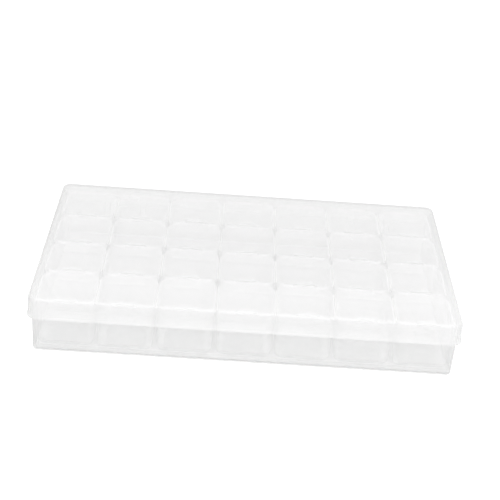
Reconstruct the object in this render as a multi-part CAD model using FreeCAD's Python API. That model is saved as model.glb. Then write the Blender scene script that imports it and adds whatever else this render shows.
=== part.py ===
"""Bobbin box: a see-through hinged case that holds loose strips of cups, each cup with its own flip lid.

Millimetres. The case stands on z = 0 with its middle at the origin. Its long side runs along X and its
hinge is at +Y.
"""
import FreeCAD
import Part

import os

Vector = FreeCAD.Vector

# Cells
columns = 7
rows = 4
cell_width = 21.7           # inside a cup at its mouth, across the strip
cell_length = 21.0          # inside a cup at its mouth, along the strip
cup_wall = 0.8
cup_floor = 0.9
cup_height = 21.3           # underside of the cup to the top of its flange
cup_taper = 0.3             # how far each side leans in from mouth to bottom
cup_bottom_round = 3.0      # outside edge of the cup's bottom
cup_corner_ease = 0.3       # upright corners are rounder than the bottom edge by this much

# Strips
row_spacing = 2.0           # between the cups of one strip
strip_spacing = 0.1         # between the flanges of neighbouring strips
flange_thickness = 1.2
flange_overhang = 0.4       # beyond the outside of the cup
flange_edge_round = 0.3
bridge_width = 3.0          # webs that join one cup to the next
bridge_offset = 7.5         # from the strip's middle line to the middle of a web
bridge_depth = 4.0
bridge_drop = 0.35          # top of a web below the top of the flange

# Flip lids
flip_thickness = 1.1
flip_inset = 0.3            # lid outline inside the outline of the flange
flip_seat_gap = 0.05
flip_edge_round = 0.3
plug_depth = 1.2            # rim under the lid that drops into the cup's mouth
plug_wall = 0.8
plug_gap = 0.3
plug_rear_gap = 1.7
tab_width = 10.0
tab_reach = 1.1             # in front of the lid's front edge
tab_round = 0.9
tab_lip_height = 0.6        # raised ridge along the tab
tab_lip_width = 0.9

# Flip lid hinges
flip_hinge_setback = 1.15   # axis in front of the flange's rear edge
flip_hinge_height = 1.1     # axis above the top of the flange
flip_rod_radius = 0.9
flip_rod_overrun = 1.4      # rod beyond the gap outside each ear
flip_pin_radius = 0.55
flip_pin_clearance = 0.05
flip_ear_wall = 0.4         # around the bearing hole
flip_ear_thickness = 1.2
flip_ear_offset = 7.25      # from the strip's middle line to the middle of an ear
flip_ear_gap = 0.15         # between an ear and the lid beside it
flip_mouth_share = 0.75     # width of the ear's snap mouth, as a share of the pin

# Case base
side_clearance = 0.15       # beside the row of strips
end_clearance = 1.15        # in front of and behind the strips
base_floor = 1.1
base_wall = 1.0
base_taper = 0.4            # how far each side leans in from rim to bottom
base_bottom_round = 1.5
base_inner_round = 0.5
base_corner_ease = 0.6      # upright corners are rounder than the bottom edge by this much
rim_round = 0.35
rim_headroom = 0.15         # between the base's rim and the lid's panel

# Case lid
strip_headroom = 0.4        # between the highest ears and the lid's panel
lid_top = 1.1
lid_wall = 0.9
lid_drop = 9.6              # top of the lid to the lower edge of its skirt
lid_flare = 0.2             # how far the skirt leans out from its top to its lower edge
lid_edge_round = 1.6
lid_inner_round = 0.5
rim_gap = 0.3               # between the base's rim and the skirt
lip_out = 0.3               # thickened lower edge of the skirt
lip_height = 1.3
lip_round = 0.12

# Case hinges
hinge_spread = 116.0        # between the middles of the two hinges
hinge_drop = 0.6            # axis below the lower edge of the skirt
hinge_barrel_radius = 1.9
hinge_standoff = 0.35       # between the barrel and the back of the lid
hinge_pin_radius = 1.0
hinge_pin_clearance = 0.06
hinge_tongue_width = 14.0
hinge_tongue_rise = 4.0     # how far the tongue's root reaches up the skirt
hinge_ear_thickness = 2.4
hinge_ear_gap = 0.25        # between an ear and the tongue, and under the skirt
hinge_ear_root = 7.0        # how far the ear's root reaches down the base

# Closing beads on the front of the base
bead_length = 18.0
bead_spread = 90.0
bead_radius = 0.6
bead_proud = 0.18
bead_rise = 4.0             # above the lower edge of the skirt

# Cutting shapes
overcut = 1.0               # how far they reach past what they cut

# Sizes that follow
cup_width = cell_width + 2 * cup_wall
cup_length = cell_length + 2 * cup_wall
cup_corner = cup_bottom_round + cup_taper + cup_corner_ease
flange_width = cup_width + 2 * flange_overhang
flange_length = cup_length + 2 * flange_overhang
flange_corner = cup_corner + flange_overhang
strip_pitch = flange_width + strip_spacing
row_pitch = cup_length + row_spacing
strips_width = columns * strip_pitch - strip_spacing
strips_length = rows * row_pitch - row_spacing + 2 * flange_overhang

flange_z = base_floor + cup_height
flip_axis_z = flange_z + flip_hinge_height
flip_axis_offset = flange_length / 2 - flip_hinge_setback
flip_bore_radius = flip_pin_radius + flip_pin_clearance
flip_ear_radius = flip_bore_radius + flip_ear_wall
flip_under_z = flange_z + flip_seat_gap
flip_top_z = flip_under_z + flip_thickness
hinge_top_z = flip_axis_z + max(flip_ear_radius, flip_rod_radius)
tab_top_z = flip_top_z + tab_lip_height

lid_under_z = max(hinge_top_z, tab_top_z) + strip_headroom
case_height = lid_under_z + lid_top
lid_low_z = case_height - lid_drop
rim_z = lid_under_z - rim_headroom

base_width = strips_width + 2 * (side_clearance + base_wall)
base_length = strips_length + 2 * (end_clearance + base_wall)
base_corner = base_bottom_round + base_taper + base_corner_ease
lid_side = rim_gap + lid_flare + lid_wall
lid_width = base_width + 2 * lid_side
lid_length = base_length + 2 * lid_side
lid_corner = base_corner + lid_side
case_width = lid_width + 2 * lip_out
case_length = lid_length + 2 * lip_out

hinge_axis_y = case_length / 2 + hinge_standoff + hinge_barrel_radius
hinge_axis_z = lid_low_z - hinge_drop


def strip_x(column):
    """Middle of a strip, counted from 1 at -X."""
    return (column - (columns + 1) / 2) * strip_pitch


def cell_y(row):
    """Middle of a cell, counted from 1 at the back."""
    return ((rows + 1) / 2 - row) * row_pitch


def outline(width, length, corner, z):
    """Closed rounded rectangle, centred on the Z axis at height z."""
    x, y, r = width / 2, length / 2, corner
    k = r * (1 - 0.5 ** 0.5)
    starts = [(x - r, -y), (x, y - r), (-x + r, y), (-x, -y + r)]
    middles = [(x - k, -y + k), (x - k, y - k), (-x + k, y - k), (-x + k, -y + k)]
    ends = [(x, -y + r), (x - r, y), (-x, y - r), (-x + r, -y)]
    edges = []
    for i in range(4):
        a, b, c = (Vector(px, py, z) for px, py in (starts[i], middles[i], ends[i]))
        edges.append(Part.Arc(a, b, c).toShape())
        edges.append(Part.LineSegment(c, Vector(*starts[(i + 1) % 4], z)).toShape())
    return Part.Wire(edges)


def plate(width, length, corner, z, thickness):
    """Rounded plate that rises from z."""
    return Part.Face(outline(width, length, corner, z)).extrude(Vector(0, 0, thickness))


def tapered(width, length, corner, low_z, high_z, lean):
    """Rounded block whose sides lean in by lean at its low end."""
    low = outline(width - 2 * lean, length - 2 * lean, corner - lean, low_z)
    high = outline(width, length, corner, high_z)
    return Part.makeLoft([low, high], True, True)


def tapered_lid(width, length, corner, low_z, high_z):
    """Rounded block whose sides lean out by the lid's flare towards its low end."""
    lean = lid_flare * (high_z - low_z) / lid_drop
    low = outline(width, length, corner, low_z)
    high = outline(width - 2 * lean, length - 2 * lean, corner - lean, high_z)
    return Part.makeLoft([low, high], True, True)


def block(x0, x1, y0, y1, z0, z1):
    """Plain box between two corners."""
    return Part.makeBox(x1 - x0, y1 - y0, z1 - z0, Vector(x0, y0, z0))


def rod(x0, x1, y, z, radius):
    """Cylinder along X."""
    return Part.makeCylinder(radius, x1 - x0, Vector(x0, y, z), Vector(1, 0, 0))


def slab(points, x0, x1):
    """Flat outline in Y and Z, as thick as x0 to x1."""
    corners = [Vector(x0, y, z) for y, z in points]
    face = Part.Face(Part.makePolygon(corners + corners[:1]))
    return face.extrude(Vector(x1 - x0, 0, 0))


def level_edges(shape, z):
    """Edges that lie flat at height z."""
    found = []
    for edge in shape.Edges:
        box = edge.BoundBox
        if abs(box.ZMin - z) < 1e-4 and abs(box.ZMax - z) < 1e-4:
            found.append(edge)
    return found


def joined(shapes):
    """One solid out of several that overlap."""
    whole = shapes[0].multiFuse(shapes[1:]).removeSplitter()
    return whole.Solids[0]


def moved(shape, x, y):
    """Copy of a shape, shifted sideways."""
    copy = shape.copy()
    copy.translate(Vector(x, y, 0))
    return copy


def build_cup():
    """Cup with its flange and hinge ears, open at the top, centred on the Z axis."""
    outside = tapered(cup_width, cup_length, cup_corner, base_floor, flange_z, cup_taper)
    outside = outside.makeFillet(cup_bottom_round, level_edges(outside, base_floor))
    flange = plate(flange_width, flange_length, flange_corner, flange_z - flange_thickness, flange_thickness)
    flange = flange.makeFillet(flange_edge_round, level_edges(flange, flange_z))

    inside_z = base_floor + cup_floor
    inside = tapered(cell_width, cell_length, cup_corner - cup_wall, inside_z, flange_z, cup_taper)
    inside = inside.makeFillet(cup_bottom_round - cup_wall, level_edges(inside, inside_z))
    mouth = plate(cell_width, cell_length, cup_corner - cup_wall, flange_z, overcut)
    cup = outside.fuse(flange).cut(inside.fuse(mouth))

    ears = []
    for side in (-1, 1):
        middle = side * flip_ear_offset
        x0, x1 = middle - flip_ear_thickness / 2, middle + flip_ear_thickness / 2
        rear = min(flip_axis_offset + flip_ear_radius, flange_length / 2 - flange_edge_round)
        stem = block(x0, x1, cell_length / 2, rear, flange_z - flange_thickness / 2, flip_axis_z)
        ear = stem.fuse(rod(x0, x1, flip_axis_offset, flip_axis_z, flip_ear_radius))
        bore = rod(x0 - overcut, x1 + overcut, flip_axis_offset, flip_axis_z, flip_bore_radius)
        half = flip_mouth_share * flip_pin_radius
        snap = block(x0 - overcut, x1 + overcut, flip_axis_offset - half, flip_axis_offset + half,
                     flip_axis_z, flip_axis_z + 2 * flip_ear_radius)
        ears.append(ear.cut(bore.fuse(snap)))
    return joined([cup] + ears)


def build_strip():
    """Strip of cups joined by pairs of webs, centred on the Z axis."""
    cup = build_cup()
    pieces = [moved(cup, 0, cell_y(row)) for row in range(1, rows + 1)]
    reach = row_spacing / 2 + cup_wall / 2
    top = flange_z - bridge_drop
    for row in range(1, rows):
        middle = (cell_y(row) + cell_y(row + 1)) / 2
        for side in (-1, 1):
            x = side * bridge_offset
            pieces.append(block(x - bridge_width / 2, x + bridge_width / 2,
                                middle - reach, middle + reach, top - bridge_depth, top))
    return joined(pieces)


def build_flip_lid():
    """Flip lid with its thumb tab, plug rim, hinge rod and pins, centred on the Z axis like its cup."""
    width = flange_width - 2 * flip_inset
    front = flange_length / 2 - flip_inset
    corner = flange_corner - flip_inset
    body = plate(width, 2 * front, corner, flip_under_z, flip_thickness)
    tab = plate(tab_width, 2 * (front + tab_reach), tab_round, flip_under_z, flip_thickness)
    front_half = block(-tab_width, tab_width, -2 * front, 0, flip_under_z - overcut, flip_top_z + overcut)
    tab = tab.common(front_half)
    panel = body.fuse(tab).removeSplitter()
    panel = panel.makeFillet(flip_edge_round, level_edges(panel, flip_top_z))
    kept = block(-width, width, -2 * front, flip_axis_offset, flip_under_z - overcut, flip_top_z + overcut)
    panel = panel.common(kept)

    lip_y = -front - tab_reach + flip_edge_round + tab_lip_width / 2
    lip_half = tab_width / 2 - tab_round
    lip = Part.makeBox(2 * lip_half, tab_lip_width, flip_thickness / 2 + tab_lip_height,
                       Vector(-lip_half, lip_y - tab_lip_width / 2, flip_top_z - flip_thickness / 2))
    lip = lip.makeFillet(tab_lip_width / 3, level_edges(lip, flip_top_z + tab_lip_height))

    plug_width = cell_width - 2 * plug_gap
    plug_length = cell_length - plug_gap - plug_rear_gap
    plug_corner = cup_corner - cup_wall - plug_gap
    plug_z = flip_under_z - plug_depth
    ring = plate(plug_width, plug_length, plug_corner, plug_z, plug_depth + flip_thickness / 2)
    hole = plate(plug_width - 2 * plug_wall, plug_length - 2 * plug_wall, plug_corner - plug_wall,
                 plug_z - overcut, plug_depth + overcut)
    ring = moved(ring.cut(hole), 0, (plug_gap - plug_rear_gap) / 2)

    half = flip_ear_offset + flip_ear_thickness / 2 + flip_ear_gap + flip_rod_overrun
    barrel = rod(-half, half, flip_axis_offset, flip_axis_z, flip_rod_radius)
    web = block(-half, half, flip_axis_offset - flip_rod_radius, flip_axis_offset,
                flip_under_z + flip_thickness / 2, flip_axis_z)
    lid = joined([panel, lip, ring, barrel, web])

    room = flip_ear_thickness / 2 + flip_ear_gap
    notches = []
    pins = []
    for side in (-1, 1):
        x = side * flip_ear_offset
        clear = flip_ear_radius + 2 * flip_ear_gap
        notches.append(block(x - room, x + room, flip_axis_offset - clear, flip_axis_offset + clear,
                             flip_under_z - overcut, flip_axis_z + clear))
        pins.append(rod(x - room - flip_ear_gap, x + room + flip_ear_gap,
                        flip_axis_offset, flip_axis_z, flip_pin_radius))
    return joined([lid.cut(notches[0].fuse(notches[1]))] + pins)


def base_back(z):
    """Distance from the middle of the case to the outside of the base's front and back walls at height z."""
    return base_length / 2 - base_taper * (rim_z - z) / rim_z


def build_case_base():
    """Tray with a rounded rim, hinge ears at the back and closing beads at the front."""
    outside = tapered(base_width, base_length, base_corner, 0, rim_z, base_taper)
    outside = outside.makeFillet(base_bottom_round, level_edges(outside, 0))
    lean = base_taper * (rim_z - base_floor) / rim_z
    inside = tapered(base_width - 2 * base_wall, base_length - 2 * base_wall, base_corner - base_wall,
                     base_floor, rim_z, lean)
    inside = inside.makeFillet(base_inner_round, level_edges(inside, base_floor))
    tray = outside.cut(inside)
    tray = tray.makeFillet(rim_round, level_edges(tray, rim_z))

    pieces = [tray]
    bores = []
    ear_top = lid_low_z - hinge_ear_gap
    ear_low = hinge_axis_z - hinge_ear_root
    root_y = base_back((ear_top + ear_low) / 2) - base_wall / 2
    profile = [(root_y, ear_low), (root_y, ear_top), (hinge_axis_y, ear_top),
               (hinge_axis_y, hinge_axis_z - hinge_barrel_radius)]
    for hinge in (-1, 1):
        for side in (-1, 1):
            near = hinge_tongue_width / 2 + hinge_ear_gap
            x0 = hinge * hinge_spread / 2 + min(side * near, side * (near + hinge_ear_thickness))
            x1 = x0 + hinge_ear_thickness
            pieces.append(slab(profile, x0, x1))
            pieces.append(rod(x0, x1, hinge_axis_y, hinge_axis_z, hinge_barrel_radius))
            bores.append(rod(x0 - overcut, x1 + overcut, hinge_axis_y, hinge_axis_z,
                             hinge_pin_radius + hinge_pin_clearance))
        bead_z = lid_low_z + bead_rise
        bead_y = -base_back(bead_z) - bead_proud + bead_radius
        bead_x = hinge * bead_spread / 2
        pieces.append(rod(bead_x - bead_length / 2, bead_x + bead_length / 2, bead_y, bead_z, bead_radius))
    return joined(pieces).cut(bores[0].multiFuse(bores[1:])).Solids[0]


def build_case_lid():
    """Panel with a leaning skirt, a thickened lower edge, and hinge tongues with pins at the back."""
    shell = tapered_lid(lid_width, lid_length, lid_corner, lid_low_z, case_height)
    shell = shell.makeFillet(lid_edge_round, level_edges(shell, case_height))
    lip = plate(case_width, case_length, lid_corner + lip_out, lid_low_z, lip_height)
    lip = lip.makeFillet(lip_round, level_edges(lip, lid_low_z) + level_edges(lip, lid_low_z + lip_height))
    inside = tapered_lid(lid_width - 2 * lid_wall, lid_length - 2 * lid_wall, lid_corner - lid_wall,
                         lid_low_z, lid_under_z)
    inside = inside.makeFillet(lid_inner_round, level_edges(inside, lid_under_z))
    cap = shell.fuse(lip).cut(inside).removeSplitter()

    pieces = [cap]
    root_y = lid_length / 2 - lid_wall / 2
    slant = hinge_barrel_radius * 0.5 ** 0.5
    profile = [(root_y, lid_low_z), (root_y, lid_low_z + hinge_tongue_rise),
               (hinge_axis_y + slant, hinge_axis_z + slant), (hinge_axis_y, hinge_axis_z)]
    pin_half = hinge_tongue_width / 2 + hinge_ear_gap + hinge_ear_thickness
    for hinge in (-1, 1):
        x = hinge * hinge_spread / 2
        x0, x1 = x - hinge_tongue_width / 2, x + hinge_tongue_width / 2
        pieces.append(slab(profile, x0, x1))
        pieces.append(rod(x0, x1, hinge_axis_y, hinge_axis_z, hinge_barrel_radius))
        pieces.append(rod(x - pin_half, x + pin_half, hinge_axis_y, hinge_axis_z, hinge_pin_radius))
    return joined(pieces)


def main():
    """Writes every piece to its own file."""
    os.makedirs("parts", exist_ok=True)
    solids = {"case_base": build_case_base(), "case_lid": build_case_lid()}
    strip = build_strip()
    flip_lid = build_flip_lid()
    for column in range(1, columns + 1):
        solids[f"cup_strip_{column}"] = moved(strip, strip_x(column), 0)
        for row in range(1, rows + 1):
            solids[f"flip_lid_{column}_{row}"] = moved(flip_lid, strip_x(column), cell_y(row))
    for name, solid in solids.items():
        solid.exportStep(f"parts/{name}.step")


if __name__ == "__main__":
    main()
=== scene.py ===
import logging
from abc import ABC, abstractmethod
from dataclasses import dataclass, field
from enum import Enum
from math import cos, radians, sin
from typing import Any

import bpy
from mathutils import Matrix, Vector


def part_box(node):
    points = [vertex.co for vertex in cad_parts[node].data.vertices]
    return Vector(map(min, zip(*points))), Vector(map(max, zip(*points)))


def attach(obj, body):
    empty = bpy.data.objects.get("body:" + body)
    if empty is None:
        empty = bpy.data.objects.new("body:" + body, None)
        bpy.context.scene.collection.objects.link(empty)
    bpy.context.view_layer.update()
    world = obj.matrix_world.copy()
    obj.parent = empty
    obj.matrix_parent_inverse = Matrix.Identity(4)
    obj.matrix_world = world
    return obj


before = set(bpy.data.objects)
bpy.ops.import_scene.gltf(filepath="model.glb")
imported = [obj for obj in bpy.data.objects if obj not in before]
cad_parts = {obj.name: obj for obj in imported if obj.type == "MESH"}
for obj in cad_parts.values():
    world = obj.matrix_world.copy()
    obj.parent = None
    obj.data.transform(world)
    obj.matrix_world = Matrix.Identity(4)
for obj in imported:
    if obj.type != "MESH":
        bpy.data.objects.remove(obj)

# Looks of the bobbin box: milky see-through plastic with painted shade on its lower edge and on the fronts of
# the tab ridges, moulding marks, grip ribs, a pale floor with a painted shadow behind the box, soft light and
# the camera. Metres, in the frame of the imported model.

MM = 0.001
CLEAR_PASSES = 64           # see-through walls that a ray may cross
SOFT_BOUNCES = 12           # times that light may scatter between the pale walls
FIRST_WALL = 0.5            # a ray that has crossed no wall yet counts less than this
EVEN_BLEND = 0.5            # setting at which the facing is bent neither way
GRAIN_SHARE = 0.6           # how much of the roughness follows the grain, the rest follows the clouds
GRAIN_DETAIL = 2.0          # layers of finer patches in the grain
RIPPLE_DETAIL = 1.0         # the same in the ripples
CLOUD_DETAIL = 4.0          # the same in the clouds
CLOUD_STIR = 0.8            # how much the clouds are stirred
SCRATCH_DETAIL = 2.0        # layers of finer scratches
SCRATCH_DULLING = 0.2       # how much rougher a scratch is
SCRATCH_LENGTH = 22 * MM
SCRATCH_STRETCH = (1.0, 45.0, 45.0)
SCRATCH_TURN = (0.3, 0.2, radians(35))
SCRATCH_START = 0.66        # height of the noise at which a scratch begins to show
SCRATCH_FULL = 0.78         # height at which it shows fully
PLASTIC_IOR = 1.49

# The Mix node's colour sockets go by number, because several of its sockets share a name.
MIX_SHARE = 0
MIX_FIRST = 6
MIX_SECOND = 7
MIX_COLOUR = 2

log = logging.getLogger("bobbin_box")

Point = tuple[float, float, float]
Colour = tuple[float, float, float, float]
Source = bpy.types.NodeSocket | float | int | bool | tuple | bpy.types.Material


class Slot(Enum):
    """Material slots that the finishes stand for."""

    CASE = "case_plastic"
    CUP = "cup_plastic"
    FLIP = "flip_plastic"


class Ray(Enum):
    """Kinds of ray that see the white surround as it is."""

    CAMERA = "Is Camera Ray"
    GLOSSY = "Is Glossy Ray"
    THROUGH = "Is Transmission Ray"


class Axis(Enum):
    """Axes of the shared frame."""

    X = "X"
    Y = "Y"
    Z = "Z"


@dataclass
class Graph:
    """Node tree of a material, the world or a mesh recipe, with short ways to fill it.

    Args:
        tree: The tree that gets the nodes.
    """

    tree: bpy.types.NodeTree

    def add(self, kind: str, inputs: dict[str | int, Source] | None = None,
            **settings: Any) -> bpy.types.Node:
        """Adds one node.

        Args:
            kind: Type name of the node.
            inputs: What each input takes, by name or number: a socket to link, or a plain value.
            settings: Properties of the node.

        Returns:
            The new node.
        """
        node = self.tree.nodes.new(kind)
        for name, value in settings.items():
            setattr(node, name, value)
        for key, source in (inputs or {}).items():
            self.feed(node.inputs[key], source)
        return node

    def feed(self, socket: bpy.types.NodeSocket, source: Source) -> None:
        """Links a socket to another, or sets its plain value.

        Args:
            socket: Input that is fed.
            source: Output to link, or the value to set.
        """
        if isinstance(source, bpy.types.NodeSocket):
            self.tree.links.new(source, socket)
        else:
            socket.default_value = source

    def math(self, operation: str, *terms: Source) -> bpy.types.NodeSocket:
        """Number worked out from its terms by an operation such as MULTIPLY."""
        inputs = dict(enumerate(terms))
        return self.add("ShaderNodeMath", inputs, operation=operation).outputs[0]

    def spread(self, value: Source, low: Source, high: Source, start: float = 0.0,
               end: float = 1.0) -> bpy.types.NodeSocket:
        """Number that is low where the value is at its start and high where it is at its end."""
        inputs = {"Value": value, "From Min": start, "From Max": end, "To Min": low, "To Max": high}
        return self.add("ShaderNodeMapRange", inputs).outputs["Result"]

    def blend(self, share: Source, first: Source, second: Source) -> bpy.types.NodeSocket:
        """Colour that is the first where the share is 0 and the second where it is 1."""
        inputs = {MIX_SHARE: share, MIX_FIRST: first, MIX_SECOND: second}
        return self.add("ShaderNodeMix", inputs, data_type="RGBA").outputs[MIX_COLOUR]

    def coordinate(self, place: bpy.types.NodeSocket, axis: Axis) -> bpy.types.NodeSocket:
        """One coordinate of a place."""
        return self.add("ShaderNodeSeparateXYZ", {"Vector": place}).outputs[axis.value]

    def white_rays(self, path: Any) -> bpy.types.NodeSocket:
        """Picks out the rays that see the white surround as it is.

        Args:
            path: Outputs of the tree's Light Path node, by name.

        Returns:
            The socket with 1 for such a ray and 0 for any other.
        """
        seen = path[Ray.CAMERA.value]
        for ray in (Ray.GLOSSY, Ray.THROUGH):
            seen = self.math("MAXIMUM", seen, path[ray.value])
        return seen


@dataclass(frozen=True)
class Band:
    """Range along one axis of the frame.

    Args:
        axis: Axis along which it lies.
        low: Where it starts.
        high: Where it ends.
        pitch: Distance after which it comes again, counted from the middle, or nought for a single band.
        mirrored: Whether it lies on both sides of the middle.
        fade: Distance in which it fades in and out.
    """

    axis: Axis
    low: float
    high: float
    pitch: float = 0.0
    mirrored: bool = False
    fade: float = 0.1 * MM

    def mark(self, graph: Graph, place: bpy.types.NodeSocket) -> bpy.types.NodeSocket:
        """Shows where the band is.

        Args:
            graph: Tree to fill.
            place: Coordinates.

        Returns:
            The socket with the share of the band, 1 inside and 0 outside.
        """
        way = graph.coordinate(place, self.axis)
        if self.pitch:
            way = graph.math("WRAP", way, self.pitch / 2, -self.pitch / 2)
        if self.mirrored:
            way = graph.math("ABSOLUTE", way)
        above = graph.spread(way, 0.0, 1.0, start=self.low - self.fade, end=self.low)
        below = graph.spread(way, 1.0, 0.0, start=self.high, end=self.high + self.fade)
        return graph.math("MULTIPLY", above, below)


@dataclass(frozen=True)
class Zone:
    """Part of a piece where the plastic hides more or less than elsewhere, or is painted darker as shade.

    Args:
        bands: Ranges whose common part is the zone.
        cover: How much the plastic hides there.
        colour: Colour of the plastic there, which is painted shade where it is darker.
    """

    bands: tuple[Band, ...]
    cover: float
    colour: Colour

    def mark(self, graph: Graph, place: bpy.types.NodeSocket) -> bpy.types.NodeSocket:
        """Shows where the zone is.

        Args:
            graph: Tree to fill.
            place: Coordinates.

        Returns:
            The socket with the share of the zone, 1 inside and 0 outside.
        """
        share = self.bands[0].mark(graph, place)
        for band in self.bands[1:]:
            share = graph.math("MULTIPLY", share, band.mark(graph, place))
        return share


@dataclass(frozen=True)
class PlasticFinish:
    """Natural polypropylene: milky and see-through, satin, whiter where it is seen edge on.

    Args:
        name: Name of the material.
        slot: Slot that it stands for; not used.
        tint: Colour of the plastic.
        shade: Colour where the melt ran thicker.
        clear: How much a wall hides, seen square on.
        rim: How much it hides, seen edge on.
        rim_power: How fast it whitens towards the edge.
        haze: How far the clouds in the plastic vary what it hides.
        cloud_size: Width of a cloud.
        smooth: Lowest roughness.
        dull: Highest roughness.
        grain_size: Width of a grain of the mould's texture.
        grain_depth: Depth of the grain.
        ripple_size: Width of a ripple left by cooling.
        ripple_depth: Depth of a ripple.
        scuffs: How much fine scratches whiten the plastic.
        flow: Way in which the melt ran, as a stretch of the clouds along each axis.
        zones: Parts where the plastic hides more or less or carries painted shade, a later one over an
            earlier one.
    """

    name: str
    slot: Slot
    tint: Colour
    shade: Colour
    clear: float
    rim: float
    rim_power: float = 6.0
    haze: float = 0.03
    cloud_size: float = 14 * MM
    smooth: float = 0.36
    dull: float = 0.54
    grain_size: float = 0.45 * MM
    grain_depth: float = 0.012 * MM
    ripple_size: float = 9 * MM
    ripple_depth: float = 0.06 * MM
    scuffs: float = 0.03
    flow: Point = (1.0, 1.0, 1.0)
    zones: tuple[Zone, ...] = ()

    def material(self) -> bpy.types.Material:
        """Material with this finish, made on its first use."""
        found = bpy.data.materials.get(self.name)
        return found or self._mix()

    def _mix(self) -> bpy.types.Material:
        """Builds the node tree.

        Returns:
            The new material.
        """
        material = bpy.data.materials.new(self.name)
        material.use_nodes = True
        graph = Graph(material.node_tree)
        shader = material.node_tree.nodes["Principled BSDF"]
        place = graph.add("ShaderNodeTexCoord").outputs["Object"]
        flow = graph.add("ShaderNodeMapping", {"Vector": place, "Scale": self.flow}).outputs["Vector"]
        clouds = self._noise(graph, flow, self.cloud_size, CLOUD_DETAIL, bend=CLOUD_STIR)
        grain = self._noise(graph, place, self.grain_size, GRAIN_DETAIL)
        ripple = self._noise(graph, flow, self.ripple_size, RIPPLE_DETAIL)
        scuff = self._scratches(graph, place)

        facing = graph.add("ShaderNodeLayerWeight", {"Blend": EVEN_BLEND}).outputs["Facing"]
        cover = graph.spread(graph.math("POWER", facing, self.rim_power), self.clear, self.rim)
        colour = graph.blend(clouds, self.tint, self.shade)
        for zone in self.zones:
            share = zone.mark(graph, place)
            gain = graph.math("SUBTRACT", zone.cover, cover)
            cover = graph.math("MULTIPLY_ADD", share, gain, cover)
            # A darker zone colour is painted shade.
            colour = graph.blend(share, colour, zone.colour)
        graph.feed(shader.inputs["Base Color"], colour)
        rough = graph.spread(GRAIN_SHARE, clouds, grain)
        rough = graph.spread(rough, self.smooth, self.dull)
        rough = graph.math("MULTIPLY_ADD", scuff, SCRATCH_DULLING, rough)
        graph.feed(shader.inputs["Roughness"], rough)
        waved = graph.add("ShaderNodeBump", {"Distance": self.ripple_depth, "Height": ripple})
        grained = graph.add("ShaderNodeBump", {"Distance": self.grain_depth, "Height": grain,
                                               "Normal": waved.outputs["Normal"]})
        graph.feed(shader.inputs["Normal"], grained.outputs["Normal"])

        cover = graph.math("ADD", cover, graph.spread(clouds, -self.haze, self.haze))
        cover = graph.math("MULTIPLY_ADD", scuff, self.scuffs, cover)
        graph.feed(shader.inputs["Alpha"], cover)
        shader.inputs["IOR"].default_value = PLASTIC_IOR
        return material

    def _noise(self, graph: Graph, place: bpy.types.NodeSocket, size: float, detail: float,
               bend: float = 0.0) -> bpy.types.NodeSocket:
        """Cloudy pattern from 0 to 1, by the width of a patch, its finer layers and how far it is stirred."""
        inputs = {"Vector": place, "Scale": 1 / size, "Detail": detail, "Distortion": bend}
        return graph.add("ShaderNodeTexNoise", inputs).outputs["Fac"]

    def _scratches(self, graph: Graph, place: bpy.types.NodeSocket) -> bpy.types.NodeSocket:
        """Sparse hair scratches that run aslant.

        Args:
            graph: Tree to fill.
            place: Coordinates.

        Returns:
            The socket with the pattern, 1 in a scratch and 0 beside it.
        """
        inputs = {"Vector": place, "Rotation": SCRATCH_TURN, "Scale": SCRATCH_STRETCH}
        turned = graph.add("ShaderNodeMapping", inputs).outputs["Vector"]
        lines = self._noise(graph, turned, SCRATCH_LENGTH, SCRATCH_DETAIL)
        return graph.spread(lines, 0.0, 1.0, start=SCRATCH_START, end=SCRATCH_FULL)


MILKY = (0.985, 0.985, 0.985, 1)
MILKY_SHADE = (0.97, 0.97, 0.97, 1)
# Painted shade: darker grey for the lower edge of the case.
FOOT_SHADE = (0.94, 0.94, 0.94, 1)
# Painted shade: dark grey for the front faces of the tab ridges.
RIDGE_SHADE = (0.7, 0.7, 0.7, 1)
WHITE = (1, 1, 1, 1)

COLUMN_PITCH = 24.2 * MM    # from one strip of cups to the next
ROW_PITCH = 24.6 * MM       # from one cup of a strip to the next

# Heights at which the zones lie.
FLOOR_LEVEL = Band(Axis.Z, -1.0 * MM, 1.2 * MM)                         # floor of the tray
SKIRT_LEVEL = Band(Axis.Z, 16.3 * MM, 17.6 * MM)                        # lower edge of the lid's skirt
PLUG_LEVEL = Band(Axis.Z, 21.0 * MM, 22.4 * MM, fade=0.05 * MM)         # rim under a flip lid
FLANGE_LEVEL = Band(Axis.Z, 21.2 * MM, 22.5 * MM)                       # flange round the cups
RIDGE_LEVEL = Band(Axis.Z, 23.2 * MM, 23.9 * MM)                        # front of the ridge on a tab
RIDGE_TOP_LEVEL = Band(Axis.Z, 24.0 * MM, 25.0 * MM)                    # top of that ridge
BASE_RIM_LEVEL = Band(Axis.Z, 23.5 * MM, 25.0 * MM)                     # top of the tray's walls

# Their places along and across the box.
BOTH_ENDS = Band(Axis.X, 83.5 * MM, 100.0 * MM, mirrored=True)          # left and right ends of the tray
FRONT_AND_BACK = Band(Axis.Y, 46.5 * MM, 60.0 * MM, mirrored=True)      # its front and back
STRIP_SIDES = Band(Axis.X, 11.7 * MM, 12.2 * MM, COLUMN_PITCH, mirrored=True)   # long edges of the strips
STRIP_FRONTS = Band(Axis.Y, -60.0 * MM, -48.2 * MM)                     # front edges of the strips
RIDGES = Band(Axis.Y, 0.0, 1.2 * MM, ROW_PITCH)                         # ridges of the tabs
RIDGE_FACES = Band(Axis.Y, -0.3 * MM, 0.3 * MM, ROW_PITCH)              # front faces of the ridges

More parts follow.
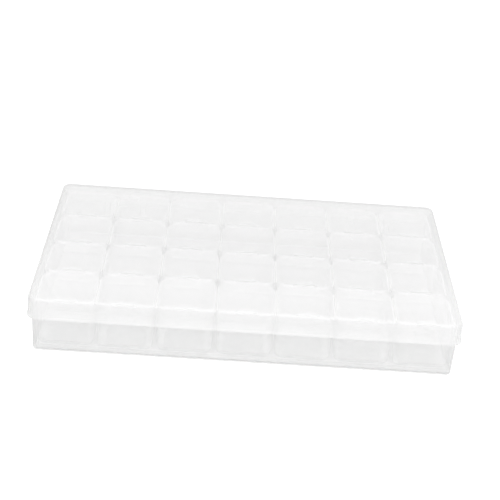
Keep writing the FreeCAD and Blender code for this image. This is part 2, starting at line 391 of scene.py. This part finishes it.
BASE_FLOOR = Zone((FLOOR_LEVEL,), cover=0.5, colour=MILKY)
# Painted shade: the case's lower edge at front, back and both ends is painted darker in place of the shade
# along its foot.
FOOT_SIDES_SHADE = Zone((FLOOR_LEVEL, FRONT_AND_BACK), cover=0.42, colour=FOOT_SHADE)
FOOT_ENDS_SHADE = Zone((FLOOR_LEVEL, BOTH_ENDS), cover=0.42, colour=FOOT_SHADE)
BASE_RIM = Zone((BASE_RIM_LEVEL,), cover=0.1, colour=MILKY)
SKIRT_EDGE = Zone((SKIRT_LEVEL,), cover=0.2, colour=MILKY)
CUP_FLANGE = Zone((FLANGE_LEVEL,), cover=0.24, colour=MILKY)
FLANGE_SIDES = Zone((FLANGE_LEVEL, STRIP_SIDES), cover=0.4, colour=MILKY)
FLANGE_FRONT = Zone((FLANGE_LEVEL, STRIP_FRONTS), cover=0.1, colour=MILKY)
PLUG_RIM = Zone((PLUG_LEVEL,), cover=0.24, colour=MILKY)
RIDGE_TOP = Zone((RIDGE_TOP_LEVEL, RIDGES), cover=0.24, colour=MILKY)
# Painted shade: the front face of each tab's ridge is painted dark, in place of the shadow in the gap in
# front of the tab.
RIDGE_FRONT_SHADE = Zone((RIDGE_LEVEL, RIDGE_FACES), cover=0.5, colour=RIDGE_SHADE)

CASE_FINISH = PlasticFinish("milky_case", Slot.CASE, MILKY, MILKY_SHADE, clear=0.14, rim=0.6,
                            flow=(0.5, 1.0, 1.0), zones=(BASE_FLOOR, FOOT_SIDES_SHADE, FOOT_ENDS_SHADE, BASE_RIM))
LID_FINISH = PlasticFinish("milky_lid", Slot.CASE, MILKY, MILKY_SHADE, clear=0.19, rim=0.7,
                           flow=(0.5, 1.0, 1.0), zones=(SKIRT_EDGE,))
CUP_FINISH = PlasticFinish("milky_cup", Slot.CUP, MILKY, MILKY_SHADE, clear=0.14, rim=0.14,
                           cloud_size=9 * MM, scuffs=0.01, zones=(CUP_FLANGE, FLANGE_SIDES, FLANGE_FRONT))
FLIP_FINISH = PlasticFinish("milky_flip", Slot.FLIP, MILKY, MILKY_SHADE, clear=0.14, rim=0.17,
                            cloud_size=8 * MM, scuffs=0.015, zones=(PLUG_RIM, RIDGE_TOP, RIDGE_FRONT_SHADE))


class MeshRecipe(ABC):
    """Geometry node tree with named inputs, turned into a plain mesh for each piece."""

    name: str
    inputs: dict[str, str]

    def __init__(self) -> None:
        """Builds the tree with its inputs, its output and its closing nodes."""
        self.tree = bpy.data.node_groups.new(self.name, "GeometryNodeTree")
        face = self.tree.interface
        face.new_socket("Geometry", in_out="INPUT", socket_type="NodeSocketGeometry")
        sockets = {**self.inputs, "Material": "NodeSocketMaterial"}
        self.keys = {label: face.new_socket(label, in_out="INPUT", socket_type=kind).identifier
                     for label, kind in sockets.items()}
        face.new_socket("Geometry", in_out="OUTPUT", socket_type="NodeSocketGeometry")
        graph = Graph(self.tree)
        given = graph.add("NodeGroupInput").outputs
        whole = graph.add("GeometryNodeRealizeInstances", {"Geometry": self.wire(graph, given)})
        smooth = graph.add("GeometryNodeSetShadeSmooth", {"Geometry": whole.outputs[0]})
        inputs = {"Geometry": smooth.outputs[0], "Material": given["Material"]}
        dressed = graph.add("GeometryNodeSetMaterial", inputs)
        graph.add("NodeGroupOutput", {"Geometry": dressed.outputs[0]})

    @abstractmethod
    def wire(self, graph: Graph, given: Any) -> bpy.types.NodeSocket:
        """Fills the tree.

        Args:
            graph: Tree to fill.
            given: Outputs of its group input, by label.

        Returns:
            The socket with the shapes, which may be instances.
        """

    def circle(self, graph: Graph, sides: Source, radius: Source) -> bpy.types.NodeSocket:
        """Circle round the origin, as a curve."""
        inputs = {"Resolution": sides, "Radius": radius}
        return graph.add("GeometryNodeCurvePrimitiveCircle", inputs).outputs[0]

    def make(self, name: str, points: list[Point], values: dict[str, Any]) -> bpy.types.Object:
        """Makes one piece.

        Args:
            name: Name of the piece.
            points: Where the recipe's shapes go.
            values: Value of each input, by label.

        Returns:
            The piece, with a plain mesh and no modifier.
        """
        seeds = bpy.data.meshes.new(f"{name}_points")
        seeds.from_pydata(points, [], [])
        piece = bpy.data.objects.new(name, seeds)
        bpy.context.scene.collection.objects.link(piece)
        modifier = piece.modifiers.new(self.name, "NODES")
        modifier.node_group = self.tree
        for label, value in values.items():
            modifier[self.keys[label]] = value
        shaped = piece.evaluated_get(bpy.context.evaluated_depsgraph_get())
        mesh = bpy.data.meshes.new_from_object(shaped)
        piece.modifiers.remove(modifier)
        piece.data = mesh
        bpy.data.meshes.remove(seeds)
        return piece


class RibRecipe(MeshRecipe):
    """Half-sunk round ribs along X, one at each point."""

    name = "grip_ribs"
    inputs = {"Length": "NodeSocketFloat", "Radius": "NodeSocketFloat", "Sides": "NodeSocketInt"}
    stations = 13               # sections along a rib
    end_power = 8.0             # how late a rib draws in towards its ends
    end_width = 0.3             # width of its ends, as a share of its middle

    def wire(self, graph: Graph, given: Any) -> bpy.types.NodeSocket:
        """Lays one rib with drawn-in ends on every point.

        Args:
            graph: Tree to fill.
            given: Outputs of its group input, by label.

        Returns:
            The socket with the ribs.
        """
        half = graph.math("MULTIPLY", given["Length"], 0.5)
        other = graph.math("MULTIPLY", given["Length"], -0.5)
        start = graph.add("ShaderNodeCombineXYZ", {"X": other}).outputs[0]
        end = graph.add("ShaderNodeCombineXYZ", {"X": half}).outputs[0]
        line = graph.add("GeometryNodeCurvePrimitiveLine", {"Start": start, "End": end}).outputs[0]
        path = graph.add("GeometryNodeResampleCurve", {"Curve": line, "Count": self.stations}).outputs[0]
        along = graph.add("GeometryNodeSplineParameter").outputs["Factor"]
        away = graph.math("ABSOLUTE", graph.math("MULTIPLY_ADD", along, 2.0, -1.0))
        drawn_in = graph.math("POWER", away, self.end_power)
        round_end = graph.math("SQRT", graph.math("SUBTRACT", 1.0, drawn_in))
        swell = graph.math("MAXIMUM", round_end, self.end_width)
        ring = self.circle(graph, given["Sides"], given["Radius"])
        inputs = {"Curve": path, "Profile Curve": ring, "Scale": swell, "Fill Caps": True}
        rib = graph.add("GeometryNodeCurveToMesh", inputs).outputs[0]
        laid = graph.add("GeometryNodeInstanceOnPoints", {"Points": given["Geometry"], "Instance": rib})
        return laid.outputs[0]


class RingRecipe(MeshRecipe):
    """Fine raised rings, left by the mould's ejector pins, one round each point."""

    name = "ejector_rings"
    inputs = {"Radius": "NodeSocketFloat", "Wire": "NodeSocketFloat", "Sides": "NodeSocketInt"}
    wire_sides = 6              # corners of the section of a ring's line

    def wire(self, graph: Graph, given: Any) -> bpy.types.NodeSocket:
        """Lays one ring on every point.

        Args:
            graph: Tree to fill.
            given: Outputs of its group input, by label.

        Returns:
            The socket with the rings.
        """
        path = self.circle(graph, given["Sides"], given["Radius"])
        wire = self.circle(graph, self.wire_sides, given["Wire"])
        ring = graph.add("GeometryNodeCurveToMesh", {"Curve": path, "Profile Curve": wire}).outputs[0]
        laid = graph.add("GeometryNodeInstanceOnPoints", {"Points": given["Geometry"], "Instance": ring})
        return laid.outputs[0]


def even_steps(first: float, last: float, count: int) -> list[float]:
    """Evenly spaced numbers from the first to the last, at least two."""
    return [first + (last - first) * step / (count - 1) for step in range(count)]


@dataclass
class RingMarks:
    """Rings left by ejector pins.

    Args:
        radius: Radius of a ring.
        wire: Half the width of its raised line.
        sides: Corners of a ring.
    """

    radius: float
    wire: float = 0.06 * MM
    sides: int = 32

    def values(self, finish: PlasticFinish) -> dict[str, Any]:
        """Inputs of the ring recipe for these marks."""
        sizes = {"Radius": self.radius, "Wire": self.wire, "Sides": self.sides}
        return {**sizes, "Material": finish.material()}


@dataclass(kw_only=True)
class RingGrid(RingMarks):
    """Rings in even columns and rows.

    Args:
        columns: Rings along the piece.
        rows: Rings across the piece.
        margin: From the edges of the piece to the outer rings.
    """

    columns: int
    rows: int
    margin: float

    def places(self, box: tuple[Vector, Vector], height: float) -> list[Point]:
        """Middles of the rings.

        Args:
            box: Lowest and highest corners of the piece.
            height: Height of the face that carries the rings.

        Returns:
            The points. They reach as far back as to the front, so that the hinges don't count.
        """
        low, high = box
        xs = even_steps(low.x + self.margin, high.x - self.margin, self.columns)
        ys = even_steps(low.y + self.margin, -low.y - self.margin, self.rows)
        return [(x, y, height) for x in xs for y in ys]


@dataclass
class Moulding(ABC):
    """Moulded piece of the box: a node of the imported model, its finish and its own fine marks.

    Args:
        node: Name of the node.
        body: Body that it rides on.
        finish: Its plastic.
    """

    node: str
    body: str
    finish: PlasticFinish

    def dress(self) -> None:
        """Gives the node its plastic."""
        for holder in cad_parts[self.node].material_slots:
            holder.material = self.finish.material()

    @abstractmethod
    def build(self, ribs: RibRecipe, rings: RingRecipe) -> bpy.types.Object:
        """Makes the fine marks.

        Args:
            ribs: Recipe for grip ribs.
            rings: Recipe for ejector rings.

        Returns:
            The piece made, riding on the body.
        """

    def settle(self, piece: bpy.types.Object) -> bpy.types.Object:
        """Lets a piece ride on the body."""
        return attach(piece, self.body)

    def box(self) -> tuple[Vector, Vector]:
        """Lowest and highest corners of the node."""
        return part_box(self.node)


@dataclass
class CaseBase(Moulding):
    """Tray of the case, with ejector rings on its floor.

    Args:
        floor: Thickness of the floor.
        marks: Rings on the floor.
    """

    floor: float = 1.1 * MM
    marks: RingGrid = field(default_factory=lambda: RingGrid(2.5 * MM, columns=6, rows=3, margin=14 * MM))

    def build(self, ribs: RibRecipe, rings: RingRecipe) -> bpy.types.Object:
        """Makes the rings on the floor.

        Args:
            ribs: Not used here.
            rings: Recipe for ejector rings.

        Returns:
            The piece with the rings.
        """
        low, high = self.box()
        points = self.marks.places((low, high), low.z + self.floor)
        return self.settle(rings.make("case_base_rings", points, self.marks.values(self.finish)))


@dataclass
class CaseLid(Moulding):
    """Lid of the case, with ejector rings on its underside.

    Args:
        panel: Thickness of the panel.
        marks: Rings under the panel.
    """

    panel: float = 1.1 * MM
    marks: RingGrid = field(default_factory=lambda: RingGrid(2.0 * MM, columns=4, rows=2, margin=6 * MM))

    def build(self, ribs: RibRecipe, rings: RingRecipe) -> bpy.types.Object:
        """Makes the rings under the panel.

        Args:
            ribs: Not used here.
            rings: Recipe for ejector rings.

        Returns:
            The piece with the rings.
        """
        low, high = self.box()
        points = self.marks.places((low, high), high.z - self.panel)
        return self.settle(rings.make("case_lid_rings", points, self.marks.values(self.finish)))


@dataclass
class CupStrip(Moulding):
    """Strip of cups, with an ejector ring on the floor of each cup.

    Args:
        cells: Cups in the strip.
        pitch: From one cup to the next.
        floor: Thickness of a cup's floor.
        marks: Ring in each cup.
    """

    cells: int
    pitch: float = ROW_PITCH
    floor: float = 0.9 * MM
    marks: RingMarks = field(default_factory=lambda: RingMarks(3.0 * MM))

    def build(self, ribs: RibRecipe, rings: RingRecipe) -> bpy.types.Object:
        """Makes the rings in the cups.

        Args:
            ribs: Not used here.
            rings: Recipe for ejector rings.

        Returns:
            The piece with the rings.
        """
        low, high = self.box()
        reach = self.pitch * (self.cells - 1) / 2
        middle = (low + high) / 2
        points = [(middle.x, y, low.z + self.floor)
                  for y in even_steps(middle.y - reach, middle.y + reach, self.cells)]
        return self.settle(rings.make(f"{self.node}_rings", points, self.marks.values(self.finish)))


@dataclass
class FlipLid(Moulding):
    """Flip lid of one cup, with grip ribs behind the ridge of its thumb tab.

    Args:
        lip: From the tab's front edge to the back of its ridge.
        tip: From the highest point of the hinge rod down to the top of the lid.
        rib_count: Ribs on a tab.
        rib_pitch: From one rib to the next.
        rib_length: Length of a rib.
        rib_radius: Half the width of a rib.
        rib_sides: Corners of a rib's section.
    """

    lip: float = 1.2 * MM
    tip: float = 0.85 * MM
    rib_count: int = 3
    rib_pitch: float = 0.75 * MM
    rib_length: float = 7.4 * MM
    rib_radius: float = 0.2 * MM
    rib_sides: int = 10

    def build(self, ribs: RibRecipe, rings: RingRecipe) -> bpy.types.Object:
        """Makes the grip ribs.

        Args:
            ribs: Recipe for grip ribs.
            rings: Not used here.

        Returns:
            The piece with the ribs.
        """
        low, high = self.box()
        first = low.y + self.lip + self.rib_pitch
        last = first + (self.rib_count - 1) * self.rib_pitch
        middle = (low.x + high.x) / 2
        points = [(middle, y, high.z - self.tip) for y in even_steps(first, last, self.rib_count)]
        values = {"Length": self.rib_length, "Radius": self.rib_radius, "Sides": self.rib_sides,
                  "Material": self.finish.material()}
        return self.settle(ribs.make(f"{self.node}_grip", points, values))


@dataclass
class Floor:
    """Pale floor that shows white where it is seen directly, keeps the shadow, and is painted darker behind
    the box as shadow.

    Args:
        width: Side of the square floor.
        drop: How far it lies under the case, so that the two faces stay apart.
        colour: Its own pale colour.
        lift: Light added where it is seen directly or mirrored in a first surface.
        painted_shadow_colour: Its darker colour behind the box, a painted shadow.
        fade: Where the painted shadow starts, and where it is full.
    """

    width: float = 6.0
    drop: float = 0.1 * MM
    colour: Colour = (0.76, 0.76, 0.76, 1)
    lift: float = 0.58
    # Painted shadow: darker floor colour behind the box.
    painted_shadow_colour: Colour = (0.66, 0.66, 0.66, 1)
    fade: tuple[float, float] = (10 * MM, 80 * MM)

    def lay(self) -> bpy.types.Object:
        """Makes the floor.

        Returns:
            The floor.
        """
        half = self.width / 2
        corners = [(-half, -half, -self.drop), (half, -half, -self.drop), (half, half, -self.drop),
                   (-half, half, -self.drop)]
        mesh = bpy.data.meshes.new("floor")
        mesh.from_pydata(corners, [], [(0, 1, 2, 3)])
        mesh.materials.append(self._paint())
        floor = bpy.data.objects.new("floor", mesh)
        bpy.context.scene.collection.objects.link(floor)
        return floor

    def _paint(self) -> bpy.types.Material:
        """Matt paint, painted darker behind the box as shadow, with the lift for direct sight.

        Returns:
            The new material.
        """
        material = bpy.data.materials.new("floor_paint")
        material.use_nodes = True
        material.node_tree.nodes.clear()
        graph = Graph(material.node_tree)
        path = graph.add("ShaderNodeLightPath").outputs
        direct = graph.math("LESS_THAN", path["Transparent Depth"], FIRST_WALL)
        seen = graph.math("MULTIPLY", graph.white_rays(path), direct)
        glow = graph.add("ShaderNodeEmission", {"Strength": graph.math("MULTIPLY", seen, self.lift)})
        place = graph.add("ShaderNodeTexCoord").outputs["Object"]
        # Painted shadow: the floor grows darker behind the box.
        back = graph.coordinate(place, Axis.Y)
        shadow_share = graph.spread(back, 0.0, 1.0, start=self.fade[0], end=self.fade[1])
        paint = graph.blend(shadow_share, self.colour, self.painted_shadow_colour)
        matt = graph.add("ShaderNodeBsdfDiffuse", {"Color": paint})
        both = graph.add("ShaderNodeAddShader", {0: matt.outputs[0], 1: glow.outputs[0]})
        graph.add("ShaderNodeOutputMaterial", {"Surface": both.outputs[0]})
        return material


@dataclass
class Surround:
    """White room: soft even light on the object, pure white where it is looked at.

    Args:
        fill: Strength of its light on matt surfaces.
    """

    fill: float = 0.628

    def hang(self) -> None:
        """Makes the world."""
        world = bpy.data.worlds.new("white_room")
        world.use_nodes = True
        bpy.context.scene.world = world
        graph = Graph(world.node_tree)
        seen = graph.white_rays(graph.add("ShaderNodeLightPath").outputs)
        back = world.node_tree.nodes["Background"]
        back.inputs["Color"].default_value = WHITE
        graph.feed(back.inputs["Strength"], graph.spread(seen, self.fill, 1.0))


@dataclass
class SoftLamp:
    """Round soft box that points at the object.

    Args:
        name: Name of the lamp.
        place: Where it hangs.
        width: Its diameter.
        power: Its power in watts.
    """

    name: str
    place: Point
    width: float
    power: float

    def hang(self) -> bpy.types.Object:
        """Makes the lamp.

        Returns:
            The lamp, turned towards the origin.
        """
        light = bpy.data.lights.new(self.name, "AREA")
        light.shape = "DISK"
        light.size = self.width
        light.energy = self.power
        lamp = bpy.data.objects.new(self.name, light)
        lamp.location = self.place
        lamp.rotation_euler = Vector(self.place).to_track_quat("Z", "Y").to_euler()
        bpy.context.scene.collection.objects.link(lamp)
        return lamp


@dataclass
class PhotoCamera:
    """Camera at the photograph's place.

    Args:
        elevation: Angle above the floor, in degrees.
        azimuth: Angle round the object from its front, in degrees.
        roll: Tilt of the frame, in degrees.
        distance: From the camera to the point that it looks at.
        target: Point in the middle of the frame.
        lens: Focal length in millimetres.
        sensor: Width of the sensor in millimetres.
    """

    elevation: float = 29.142
    azimuth: float = -1.752
    roll: float = 4.579
    distance: float = 0.54516
    target: Point = (0.00162, 0.02162, 0.013)
    lens: float = 86.36
    sensor: float = 36.0

    def place(self) -> bpy.types.Object:
        """Makes the camera and looks through it.

        Returns:
            The camera.
        """
        height, bearing, tilt = (radians(angle) for angle in (self.elevation, self.azimuth, self.roll))
        back = Vector((sin(bearing) * cos(height), -cos(bearing) * cos(height), sin(height)))
        level = (-back).cross(Vector((0, 0, 1))).normalized()
        upright = level.cross(-back)
        right = cos(tilt) * level + sin(tilt) * upright
        up = -sin(tilt) * level + cos(tilt) * upright
        data = bpy.data.cameras.new("photo_camera")
        data.lens = self.lens
        data.sensor_width = self.sensor
        camera = bpy.data.objects.new("photo_camera", data)
        turn = Matrix((right, up, back)).transposed().to_4x4()
        turn.translation = Vector(self.target) + back * self.distance
        camera.matrix_world = turn
        bpy.context.scene.collection.objects.link(camera)
        bpy.context.scene.camera = camera
        return camera


@dataclass
class BobbinBox:
    """The whole box: case, lid, strips of cups and their flip lids.

    Args:
        columns: Strips in the case.
        rows: Cups in a strip.
    """

    columns: int = 7
    rows: int = 4

    def mouldings(self) -> list[Moulding]:
        """Every moulded piece.

        Returns:
            The pieces, from the case inwards.
        """
        found: list[Moulding] = [CaseBase("case_base", "case", CASE_FINISH)]
        found.append(CaseLid("case_lid", "case_lid", LID_FINISH))
        for column in range(1, self.columns + 1):
            found.append(CupStrip(f"cup_strip_{column}", "case", CUP_FINISH, cells=self.rows))
            for row in range(1, self.rows + 1):
                name = f"flip_lid_{column}_{row}"
                found.append(FlipLid(name, name, FLIP_FINISH))
        return found

    def build(self) -> None:
        """Dresses every piece and adds its fine marks."""
        ribs = RibRecipe()
        rings = RingRecipe()
        for moulding in self.mouldings():
            moulding.dress()
            piece = moulding.build(ribs, rings)
            log.info("%s: %s with %d faces", moulding.node, piece.name, len(piece.data.polygons))


def set_up_scene() -> None:
    """Sets the view and how often light may pass and scatter."""
    scene = bpy.context.scene
    scene.view_settings.view_transform = "Standard"
    scene.cycles.transparent_max_bounces = CLEAR_PASSES
    scene.cycles.max_bounces = SOFT_BOUNCES
    scene.cycles.diffuse_bounces = SOFT_BOUNCES


def main() -> None:
    """Builds the box, its stage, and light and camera."""
    logging.basicConfig(level=logging.INFO, format="%(name)s: %(message)s")
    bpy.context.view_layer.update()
    BobbinBox().build()
    Floor().lay()
    Surround().hang()
    SoftLamp("key", place=(0.0, -0.45, 0.9), width=0.9, power=6.0).hang()
    SoftLamp("front", place=(0.2, -1.0, 0.6), width=0.8, power=2.5).hang()
    PhotoCamera().place()
    set_up_scene()


if __name__ == "__main__":
    main()
